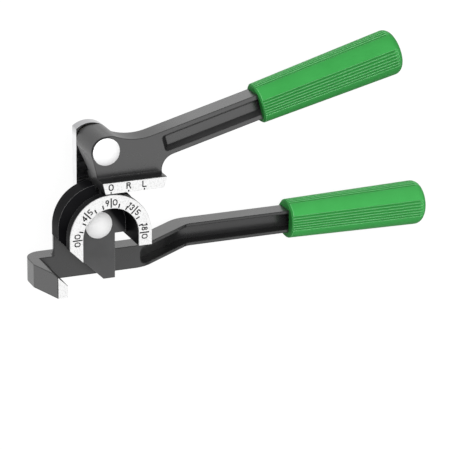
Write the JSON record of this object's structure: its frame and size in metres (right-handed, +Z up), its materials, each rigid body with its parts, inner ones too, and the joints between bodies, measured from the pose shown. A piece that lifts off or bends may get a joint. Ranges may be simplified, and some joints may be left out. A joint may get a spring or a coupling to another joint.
{
  "type": "tube bender",
  "caption": "Hand tube bender: a grooved half-round die on a stepped lower handle with a hook, and a linked forming handle whose shoe rolls the tube round the die",
  "frame": {"origin": "on the floor under the middle of the part, lying with its scale faces up", "axes": "X along the lower handle to its grip, Y from the lower handle to the forming handle, Z up along the pivots"},
  "size_m": [0.3754, 0.1984, 0.1059],
  "materials": {
    "handle_grey": "satin grey coat on a forging",
    "die_black": "smooth black coat, worn bright in the groove",
    "scale_white": "white enamel with engraved, inked marks",
    "bright_plate": "bright plated steel",
    "bronze": "plain bronze",
    "plain_steel": "ground steel",
    "black_steel": "black oxide",
    "grip_green": "soft green grip moulding, satin"
  },
  "bodies": {
    "frame": {"lower_handle": "handle_grey", "bending_die": "die_black", "degree_scale": "scale_white", "hook_plate": "scale_white", "die_screws": "black_steel", "die_dowels": "plain_steel", "main_pivot_pin": "bright_plate", "main_thrust_washer": "bronze", "main_back_washer": "plain_steel", "main_retaining_ring": "black_steel", "lower_grip": "grip_green"},
    "link": {"link_plate": "bright_plate", "link_bushes": "bronze"},
    "forming_handle": {"forming_handle": "handle_grey", "shoe_strip": "scale_white", "top_pivot_pin": "bright_plate", "top_thrust_washer": "bronze", "top_back_washer": "plain_steel", "top_retaining_ring": "black_steel", "upper_grip": "grip_green"}
  },
  "joints": [
    {"name": "bend", "type": "hinge", "parent": "frame", "child": "link", "pos_m": [-0.13275, -0.04223, 0.0526], "axis": [0, 0, -1], "range_deg": [-90, 90]},
    {"name": "lift", "type": "hinge", "parent": "link", "child": "forming_handle", "pos_m": [-0.13275, 0.02557, 0.0526], "axis": [0, 0, 1], "range_deg": [0, 90]}
  ]
}
